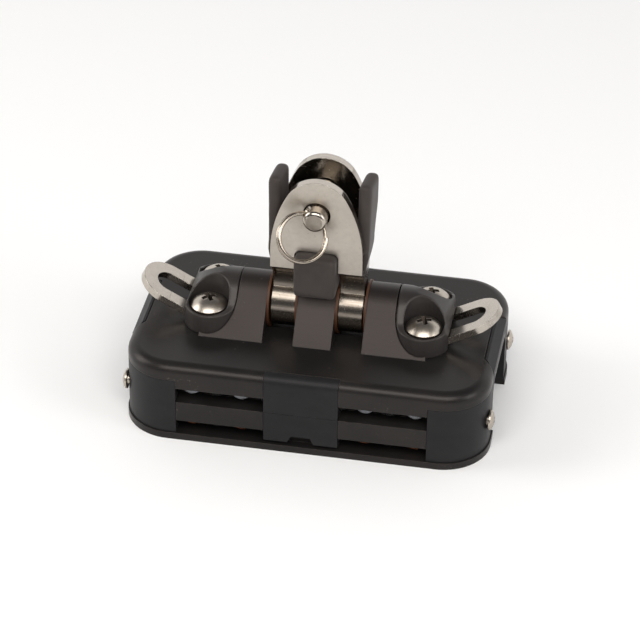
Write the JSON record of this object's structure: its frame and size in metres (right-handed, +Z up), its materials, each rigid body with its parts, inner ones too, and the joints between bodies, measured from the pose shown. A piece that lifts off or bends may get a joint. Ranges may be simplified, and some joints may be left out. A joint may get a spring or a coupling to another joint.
{
  "type": "track car",
  "caption": "Ball-bearing track car for deck hardware, with a tilting stand-up toggle, clevis pin, split ring and a becket loop at each end.",
  "frame": {"origin": "middle of the underside of the car body", "axes": "+X along the track, +Y away from the front face, +Z up out of the track"},
  "size_m": [0.1022, 0.06, 0.072],
  "materials": {
    "anodised_aluminium": "satin black anodised",
    "black_plastic": "smooth moulded black",
    "block_plastic": "fine matt moulded black",
    "insert_rubber": "matt dark grey-brown",
    "polished_stainless": "polished with brushed faces",
    "satin_stainless": "satin",
    "washer_polymer": "orange-brown",
    "white_ball": "polished",
    "orange_ball": "polished",
    "black_ball": "polished"
  },
  "bodies": {
    "car": {"car_body": "anodised_aluminium", "corner_cap_front_right": "black_plastic", "corner_cap_front_left": "black_plastic", "corner_cap_back_right": "black_plastic", "corner_cap_back_left": "black_plastic", "end_bumper_right": "black_plastic", "end_bumper_left": "black_plastic", "side_clip_front": "black_plastic", "side_clip_back": "black_plastic", "ball_gate_front": "black_plastic", "ball_gate_back": "black_plastic", "white_balls": "white_ball", "orange_balls": "orange_ball", "black_balls": "black_ball", "hinge_pin": "satin_stainless", "thrust_washers": "washer_polymer", "bail_right": "polished_stainless", "bail_left": "polished_stainless", "end_block_right": "block_plastic", "end_block_left": "block_plastic", "block_screws": "satin_stainless", "cap_screws": "satin_stainless"},
    "toggle": {"toggle": "polished_stainless", "barrel_bushes": "washer_polymer", "standup_insert": "insert_rubber"},
    "clevis_pin": {"clevis_pin": "satin_stainless"},
    "split_ring": {"split_ring": "polished_stainless"}
  },
  "joints": [
    {"name": "toggle_tilt", "type": "hinge", "parent": "car", "child": "toggle", "pos_m": [0, 0, 0.02915], "axis": [1, 0, 0], "range_deg": [-50, 50]},
    {"name": "pin_turn", "type": "hinge", "parent": "toggle", "child": "clevis_pin", "pos_m": [0, 0, 0.0623], "axis": [0, 1, 0], "continuous": true},
    {"name": "ring_swing", "type": "hinge", "parent": "clevis_pin", "child": "split_ring", "pos_m": [0, -0.0093, 0.0623], "axis": [-0.7923, 0, 0.6101], "range_deg": [-23, 70]}
  ]
}
